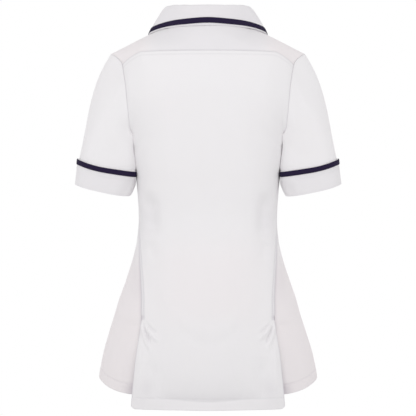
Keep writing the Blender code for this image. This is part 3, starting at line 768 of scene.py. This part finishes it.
back_edge = back_grid[back_levels >= 0][:, -1]
front_edge = front_grids[1][front_levels >= 0][::-1, -1]
armhole = np.concatenate([back_edge, yoke_grid[1:, -1], front_edge[1:]])
run = run_of(armhole)
tip = run[len(back_edge) + len(yoke_grid) - 2]
armhole = read_off(armhole, run, steps_between(0, ROUND // 2, tip, ROUND // 2, run[-1])[:-1])
armhole = (np.roll(armhole, 1, axis=0) + 2 * armhole + np.roll(armhole, -1, axis=0)) / 4
cap = (1 - np.cos(angles)) / 2
ends = hoop(SLEEVE_END, SLEEVE_RADIUS - 0.3)
chord = ends - armhole
leave = 0.8 * chord + mix(16.0, 66.0, cap)[:, None] * (1, 0, 0)
arrive = 0.95 * norm(chord, axis=1, keepdims=True) * unit(SLEEVE_AXIS)
start = armhole + unit(leave) * 0.2
sleeve_steps = steps_between(0.0, 8, 0.07, 40, 1.0)
plain_sleeve = np.array([bend(start, leave, ends, arrive, t) for t in sleeve_steps])
from_armhole, from_cuff, _, _ = distances(plain_sleeve)
clearance = 0.5 + 2.4 * fade(from_cuff, 7, 15)
below_armpit = smooth(-plain_sleeve[..., 2], 172, 196) * smooth(from_armhole, -5, 8)
plain_sleeve = beside_body(plain_sleeve, clearance, below_armpit)

from_armhole, from_cuff, _, _ = distances(plain_sleeve)
degrees_round = np.degrees(angles) + 0 * from_armhole
axis = mix(armhole.mean(axis=0), ends.mean(axis=0), sleeve_steps[:, None])[:, None]
wrapped = np.pad(plain_sleeve, ((0, 0), (1, 1), (0, 0)), "wrap")
sleeve_normals = normals_of(wrapped, wrapped - axis)[:, 1:-1]
# painted shade along the armhole seam, less over the cap's top and lower down under the arm
painted_shade = 0.3 * near(from_armhole, 1.8) * (1 - 0.8 * cap**2)
painted_shade *= 1 - 0.8 * smooth(-plain_sleeve[..., 2], 150, 182)
eased_cap = 1.1 * near(from_armhole, 5) * cap**1.5
# soft folds: degrees round and millimetres down at the start and the end, bow, width and depth
sleeve_folds = {
    1: (
        (60, 20, 100, 120, 6, 11, -1.5), (118, 8, 128, 110, 5, 9, 1.2),
        (30, 40, 62, 150, -4, 10, 1.4), (300, 20, 262, 130, 6, 12, -1.6),
        (330, 30, 300, 150, 4, 10, 1.3), (180, 30, 186, 130, 0, 16, 0.9),
    ),
    -1: (
        (56, 16, 92, 128, 5, 12, -1.4), (112, 10, 132, 118, 4, 9, 1.3),
        (26, 44, 58, 150, -3, 10, 1.3), (304, 24, 266, 126, 5, 12, -1.5),
        (332, 34, 306, 150, 4, 10, 1.2), (176, 30, 180, 140, 0, 16, 0.8),
    ),
}
for side, hand in SIDES:
    relief = folds(degrees_round, from_armhole, *sleeve_folds[side]) + eased_cap
    relief *= smooth(from_armhole, -6, 12) * smooth(from_cuff, 4, 34)
    grid = (plain_sleeve + sleeve_normals * relief[..., None]) * (side, 1, 1)
    sleeve = sewn(f"sleeve_panel_{hand}", grid, f"sleeve_{hand}", closed=True, painted_shade=painted_shade)

# --------------------
# Cuffs. A turned-back band of doubled cloth on each sleeve, pressed flat. Its top edge is under the
# braid, and two rows of stitching run round it a little lower.

CUFF_OUTER = SLEEVE_RADIUS + 1.8
CUFF_CLEARANCE = 3.6
CUFF_STITCHES = (15.5, 17.5)
cuff_height = norm(CUFF_HEM - CUFF_TOP)
cuff_steps = steps_between(0.0, 26, 0.95, 6, 1.0)


def cuff_ring(h, stand_off, swell=0.0):
    """A ring at a share of the cuff's height, this far off its cloth."""
    ring = hoop(h, CUFF_OUTER + stand_off - CUFF_TAPER * h + swell)
    return beside_body(ring, CUFF_CLEARANCE - stand_off, 1 - 0.9 * h)


from_top = cuff_steps[:, None] * cuff_height
off_inside = np.abs((angles + 1) % (2 * math.pi) - 1)
# painted shade: the cuff darker all round but for its inner side, and a painted shade line just above its
# lower edge
painted_shade = 0.17 * smooth(off_inside, 0.5, 1.2) + 0.1 * near(from_top - cuff_height + 3, 1.0)
rounded_corner = np.maximum(0, np.cos(angles - 0.2)) ** 24
for side, hand in SIDES:
    wave = 0.7 * np.sin(3 * angles + side) + 0.4 * np.sin(5 * angles + 2 * side)
    rows = []
    for h in cuff_steps:
        dent = 1.3 * near(angles - 0.82, 0.13) * smooth(h, 0.35, 0.7)
        ring = cuff_ring(h, 0.0, wave * h - dent)
        ring[:, 2] += 3.5 * smooth(h, 0.8, 1.0) * rounded_corner
        rows.append(ring * (side, 1, 1))
    cuff = sewn(f"cuff_band_{hand}", np.array(rows), f"cuff_{hand}", wall=1.5, closed=True, painted_shade=painted_shade)
    lines = []
    for distance in CUFF_STITCHES:
        h = distance / cuff_height
        ring = cuff_ring(h, 1.0)
        ring = np.concatenate([ring, ring[:1]])
        lines.append((ring * (side, 1, 1), unit(ring - mix(CUFF_TOP, CUFF_HEM, h)) * (side, 1, 1)))
    stitching = stitched(f"cuff_stitching_{hand}", *lines)

# --------------------
# Navy braid. A woven polyester braid 10 mm wide with a ribbed face, sewn flat round the top of each
# cuff and along the collar's edge.

BRAID_WIDTH = 10.0
BRAID_MARGIN = 0.3
RIDGE_PITCH = 0.0012
CORD_PITCH = 0.0025
NAVY = (0.012, 0.007, 0.028, 1)
WORN_NAVY = (0.03, 0.021, 0.06, 1)
navy_braid, braid_shader, strand = new_finish("navy_braid_weave", 0.85, 0.02)
braid_shader.inputs["Specular IOR Level"].default_value = 0.12
weave = strand.node("UVMap", {"uv_map": "weave"})
ridges, cords = weave.part("X").wave(RIDGE_PITCH), weave.part("Y").wave(CORD_PITCH)
fibres = strand.noise(1800.0, Vector=weave)
strand.dyed(fibres * 0.7 + ridges * 0.1, NAVY, WORN_NAVY).feed(braid_shader, "Base Color")
face = ridges * 0.6 + cords * 0.3 + fibres
strand.node("Bump", (), {"Strength": 0.7, "Distance": 0.0002, "Height": face}).feed(braid_shader, "Normal")

rows = []
for share in np.linspace(0, 1, 7):
    h = (BRAID_MARGIN + share * (BRAID_WIDTH - 2 * BRAID_MARGIN)) / cuff_height
    rows.append(cuff_ring(h, 1.45 + 0.35 * math.sin(math.pi * share) ** 0.5))
for side, hand in SIDES:
    name, node = f"cuff_braid_strip_{hand}", f"cuff_braid_{hand}"
    braid = sewn(name, np.array(rows) * (side, 1, 1), node, wall=0.8, closed=True, braid=True)

# --------------------
# Collar. A two-piece revere collar: a stand up from the neckline, a rolled fold, and a fall that lies
# on the yoke and runs forward to the notch. It is two layers of the twill with a stiff one between.

NECK_GAP = 1.2
LIES_OFF = 1.3
GORGE = (47.0, -36.0)
NOTCH = (84.0, -46.5)
FAR = 400.0
FOLD_RADIUS = 1.8
COLLAR_MARGIN = 3.2
# stations run from 0 behind the neck, by the shoulder seam, to the collar's ends
SHOULDER, COLLAR_END = 3, 6
collar_sizes = Sizes(
    "u fold_x fold_y fold_z edge_x edge_y edge_z",
    (-1, -41, 58, 49.7, -54.2, 58.5, 10.5),
    (0, 0, 67, 48.6, 0, 72, 10.4),
    (1, 41, 58, 49.7, 54.2, 58.5, 10.5),
    (1.5, 57.2, 47.4, 51.5, 78, 33, 10.4),
    (2, 70, 32, 52.9, 96.5, 19, 7),
    (2.5, 79, 13.5, 52.8, 107.5, 7, 3.6),
    (3, 81.5, -5, 52.1, 112.6, -5, 1.5),
    (4, 77, -34, 34, 113.5, -25, -9),
    (5, 64.5, -59, 2, 109.5, -46, -23),
    (6, 49.5, -78.5, -32, 103, -66, -36),
)
front_tree = tree_of(plain_front)
cloth_tree = tree_of(plain_front, plain_yoke)


def behind(tree, x, z):
    """The first cloth that a line from the front meets, and its normal."""
    return [np.array(found) for found in tree.ray_cast((x, -FAR, z), (0, 1, 0))[:2]]


def lifted(point, tree, gap):
    """Moves a point out along the cloth under it until it clears it by this much."""
    place, normal = (np.array(found) for found in tree.find_nearest(point)[:2])
    if np.dot(normal, place - (0, 0, UNDERARM)) < 0:
        normal = -normal
    return point + normal * max(0.0, gap - np.dot(point - place, normal))


def resting_edge(u):
    """The fall's outer edge at a station, laid on the back of the yoke and then on its top."""
    edge = np.array(collar_sizes(u)[3:])
    onto_top = smooth(u, 1.1, 1.5)
    yoke_back, face, _, _ = cloth_tree.ray_cast((edge[0], FAR, edge[2]), (0, -1, 0))
    if yoke_back and u < 1.5:
        edge[1] = mix(yoke_back[1] + LIES_OFF / abs(face[1]), edge[1], onto_top)
    yoke_under, face, _, _ = cloth_tree.ray_cast((edge[0], edge[1], FAR / 2), (0, 0, -1))
    if yoke_under and u < 3.6:
        edge[2] = mix(edge[2], yoke_under[2] + LIES_OFF / abs(face[2]), onto_top - smooth(u, 2.9, 3.6))
    return edge


def collar_section(station):
    """Points up the stand, over the fold and down the fall to the outer edge."""
    u = abs(station)
    fold, edge = np.array(collar_sizes(u)[:3]), resting_edge(u)
    if u < SHOULDER:
        neck = yoke_top(np.array([NECK_SHARE * u / SHOULDER]))[0]
    else:
        down = (u - SHOULDER) / (COLLAR_END - SHOULDER)
        neck = front_row(mix(FRONT_ROWS, 4, down), np.array([-1.0]))[0]
    neck = neck + unit(fold - neck) * NECK_GAP
    out = edge - fold
    half = out * (1, 1, 0) / norm(out[:2]) * FOLD_RADIUS
    inner, outer = fold - half - (0, 0, 1.5), fold + half - (0, 0, 1.5)
    points = [neck, mix(neck, inner, 0.5), inner, fold, outer]
    belly = unit(np.cross(np.cross(out, (0, 0, 1)), out)) * 8.0
    at_end = smooth(u, 4.6, COLLAR_END)
    for share in (0.3, 0.6, 0.82, 1.0):
        point = mix(outer, edge, share) + belly * share * (1 - share)
        along_gorge = min(1.0, (point[0] - GORGE[0]) / (NOTCH[0] - GORGE[0]))
        gorge_z = mix(GORGE[1], NOTCH[1], along_gorge) + max(0.0, point[0] - NOTCH[0]) * 0.55
        point[2] = mix(point[2], gorge_z, at_end)
        if at_end > 0:
            point[1] = mix(point[1], behind(front_tree, point[0], point[2])[0][1] - 3.2, at_end)
        points.append(lifted(point, cloth_tree, 1.2 + 1.1 * at_end))
    return np.array(points) * (math.copysign(1, station), 1, 1)


def rounded(points, count):
    """A smooth line of many points through a few, spaced evenly along it."""
    run = run_of(points)
    line = Sizes("run x y z", *np.column_stack([run, points]))
    return np.stack(line(np.linspace(0, run[-1], count)), axis=-1)


stations = both_ways(steps_between(0.0, 60, COLLAR_END))
collar_grid = np.array([rounded(collar_section(u), 36) for u in stations])
for _ in range(8):
    collar_grid[1:-1] = (collar_grid[:-2] + 2 * collar_grid[1:-1] + collar_grid[2:]) / 4
_, _, from_foot, from_edge = distances(collar_grid)
normals = normals_of(collar_grid, (0, 1, 1))
if normals[len(stations) // 2, -2, 1] < 0:
    normals = -normals
wave = 0.35 * np.sin(collar_grid[..., 0] / 17) * smooth(from_foot, 40, 60)
collar_grid += normals * wave[..., None]
# painted shade: the whole collar a little darker, and a little more along its edge stitching
painted_shade = 0.25 + 0.04 * near(from_edge - 2.2, 0.9)
collar = sewn("collar_fold", collar_grid, "collar", wall=1.3, painted_shade=painted_shade)

# the collar's braid keeps the same distance from the edge, and a little more behind the neck
strip = []
for points, ups, distance in zip(collar_grid[:, ::-1], normals[:, ::-1], from_edge[:, ::-1]):
    margin = COLLAR_MARGIN + 2.0 * near(points[0, 0], 32)
    wanted = margin + BRAID_WIDTH * np.array((0.0, 0.12, 0.5, 0.88, 1.0))
    stands = np.array((1.12, 1.37, 1.37, 1.37, 1.12))[:, None]
    strip.append(read_off(points, distance, wanted) + unit(read_off(ups, distance, wanted)) * stands)
strip = np.swapaxes(strip, 0, 1)[:, 1:-1]
collar_braid = sewn("collar_braid_strip", strip, "collar_braid", wall=0.8, braid=True)

# --------------------
# Lapels. The top of each front turned back along its roll line; its upper edge is sewn to the collar
# as far as the notch.

LAPEL_POINT = np.array((105.0, -54.5))
LAPEL_BELLY = np.array((58.0, -126.0))
BREAK_POINT = np.array((-12.0, -150.0))
LAPEL_GORGE = (GORGE[0], GORGE[1] - 3.2)
for side, hand in SIDES:
    # the left lapel goes in under the right front, so it starts higher and comes to nothing there
    lowest = 0.2 if side > 0 else 0.05
    grid = []
    for a in np.linspace(lowest, 1, 34):
        roll = mix(BREAK_POINT, LAPEL_GORGE, a)
        free = (1 - a) ** 2 * BREAK_POINT + 2 * a * (1 - a) * LAPEL_BELLY + a * a * LAPEL_POINT
        if side > 0:
            free = mix(roll, free, 0.1 + 0.9 * smooth(a, lowest, 0.42))
        row = []
        for w in np.linspace(0, 1, 22):
            x, z = mix(roll, free, w)
            place, _ = behind(front_tree, max(x, 0.2 - OVERLAP) + 0.4, z)
            row.append(lifted(place, front_tree, 2.0 + 2.6 * math.sin(math.pi * w**0.8)))
        grid.append(row)
    grid = lapped(np.array(grid), side)
    _, _, _, from_free = distances(grid)
    # painted shade along the stitching by the lapel's free edge
    painted_shade = 0.3 * near(from_free - 2.2, 0.9)
    lapel = sewn(f"lapel_fold_{hand}", grid, f"lapel_{hand}", wall=1.1, painted_shade=painted_shade)

# --------------------
# Buttons. Six moulded shirt buttons with a rim, a dished face and four holes, sewn on through the
# right front's stitched buttonholes.

BUTTON_COUNT = 6
TOP_BUTTON = -160.0
BUTTON_PITCH = 79.0
BUTTON_STANDS = 1.1
HOLE_OFF = 1.3
HOLE_RADIUS = 0.75
BUTTONHOLE = 19.0
BUTTON_TOP = 1.2
# radius and height, from the dished face, over the rim and back along the underside
PROFILE = ((4.2, 1.25), (5.0, 1.9), (6.0, 2.7), (6.9, 2.8), (7.4, 2.2), (7.5, 1.4), (7.0, 0.5), (5.5, 0.0))
TURNS = 40
BRIGHT_PLASTIC = (0.86, 0.86, 0.87, 1)
DULL_PLASTIC = (0.78, 0.78, 0.8, 1)
white_plastic, plastic_shader, plastic = new_finish("button_white", 0.3, 0.0)
cloudy = plastic.noise(60.0, 3.0)
plastic.dyed(cloudy, BRIGHT_PLASTIC, DULL_PLASTIC).feed(plastic_shader, "Base Color")


def button_shape():
    """A turned button, its four holes cut through."""
    turns = np.linspace(0, 2 * math.pi, TURNS, endpoint=False)
    rings = [(r * math.cos(turn), r * math.sin(turn), height) for r, height in PROFILE for turn in turns]
    points = np.array([(0, 0, BUTTON_TOP), *rings, (0, 0, 0)]) * MM
    neighbours = [(k, k % TURNS + 1) for k in range(1, TURNS + 1)]
    faces = [(0, a, b) for a, b in neighbours]
    for inner in range(0, len(rings) - TURNS, TURNS):
        outer = inner + TURNS
        faces += [(inner + a, outer + a, outer + b, inner + b) for a, b in neighbours]
    faces += [(outer + a, len(rings) + 1, outer + b) for a, b in neighbours]
    mesh = bpy.data.meshes.new("button_shape")
    mesh.from_pydata(points.tolist(), [], faces)
    blank = placed("button_shape", mesh)
    drills = []
    for dx, dy in ((1, 1), (-1, 1), (-1, -1), (1, -1)):
        drill = {"radius": HOLE_RADIUS * MM, "location": (dx * HOLE_OFF * MM, dy * HOLE_OFF * MM, MM)}
        bpy.ops.mesh.primitive_cylinder_add(vertices=12, depth=8 * MM, **drill)
        drills.append(bpy.context.object)
        cut = blank.modifiers.new("Hole", "BOOLEAN")
        cut.operation, cut.object, cut.solver = "DIFFERENCE", drills[-1], "EXACT"
    graph = bpy.context.evaluated_depsgraph_get()
    made = bpy.data.meshes.new_from_object(blank.evaluated_get(graph))
    for spare in (*drills, blank):
        bpy.data.objects.remove(spare)
    made.materials.clear()
    made.materials.append(white_plastic)
    made.shade_smooth()
    return made


def bars(place, up, normal, apart, length):
    """Two upright lines of thread side by side, as points and normals."""
    ends = np.outer((-0.5, 0.5), up * length)
    return [(place + (dx, 0, 0) + ends, np.array([normal, normal])) for dx in (-apart, apart)]


right_tree = tree_of(front_grids[-1][:, ::-1])
shape = button_shape()
for i in range(BUTTON_COUNT):
    place, normal = behind(right_tree, 0.0, TOP_BUTTON - i * BUTTON_PITCH)
    normal = normal * -math.copysign(1, normal[1])
    up = unit(np.array((0, -normal[2], -normal[1])))
    button = placed(f"shirt_button_{i + 1}", shape.copy())
    button.location = (place + normal * BUTTON_STANDS) * MM
    button.rotation_euler = (math.pi / 2 - math.asin(normal[2]), 0, 0)
    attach(button, "root")
    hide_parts(f"button_{i + 1}")
    threads = bars(place + normal * (BUTTON_STANDS + 1.45), up, normal, HOLE_OFF, 3.8)
    stitched(f"button_thread_{i + 1}", *threads, pitch=3.6, length=3.4, gauge=0.9)
    edges = bars(place + normal * 0.45, up, normal, 1.1, BUTTONHOLE)
    stitched(f"buttonhole_{i + 1}", *edges, pitch=0.55, length=0.5, gauge=1.5)

# --------------------
# Floor, light and camera. A pale round floor well below the hem, an even white surround that is a
# little dimmer from below, one large soft lamp, and a camera level with the middle of the back.

CAMERA_OFF = 2500.0
SEEN_WIDTH = 782.0
CAMERA_HEIGHT = -323.0
scene = bpy.context.scene
bpy.ops.mesh.primitive_circle_add(vertices=96, radius=0.95, fill_type="NGON", location=(0, 0, -0.93))
floor = bpy.context.object
floor.name = "floor"
floor_paint, floor_shader, _ = new_finish("floor_paint", 0.8, 0.0)
floor_shader.inputs["Base Color"].default_value = (0.7, 0.7, 0.7, 1)
floor.data.materials.append(floor_paint)

surround = bpy.data.worlds.new("surround")
scene.world = surround
surround.use_nodes = True
sky = Thread(surround.node_tree)


def brightness(value, low, high, at_low, at_high):
    """An even change from one brightness to another while the value goes from low to high."""
    limits = {"Value": value, "From Min": low, "From Max": high, "To Min": at_low, "To Max": at_high}
    return sky.node("MapRange", {"interpolation_type": "SMOOTHSTEP"}, limits)


direction = sky.node("TexCoord", output="Generated")
depth, height = direction.part("Y"), direction.part("Z")
behind_camera = brightness(depth, -0.6, 0.8, 0.68, 1.305) + brightness(depth, -0.2, -0.9, 0.0, 0.95)
up_and_down = brightness(height, -0.9, 0.1, 0.6, 1.0) * brightness(height, 0.25, 1.0, 1.0, 0.6)
# level with the garment the surround stays an even white
off_level = brightness(sky.sum("ABSOLUTE", height), 0.2, 0.34, 0.0, 1.0)
background = surround.node_tree.nodes["Background"]
background.inputs["Color"].default_value = (1, 1, 1, 1)
(1.0 + off_level * (behind_camera * up_and_down - 1.0)).feed(background, "Strength")

lamp = bpy.data.lights.new("soft_lamp", "AREA")
lamp.energy, lamp.size = 6.0, 1.6
lamp_holder = placed("soft_lamp", lamp)
lamp_holder.location = (0.5, 2.2, 1.3)
lamp_holder.rotation_euler = (math.radians(-55), 0, math.radians(-12))

lens = bpy.data.cameras.new("camera")
lens.sensor_width = 36.0
lens.lens = lens.sensor_width * CAMERA_OFF / SEEN_WIDTH
camera = placed("camera", lens)
camera.location = (0, CAMERA_OFF * MM, CAMERA_HEIGHT * MM)
camera.rotation_euler = (math.pi / 2, 0, math.pi)
scene.camera = camera
scene.view_settings.view_transform = "Standard"
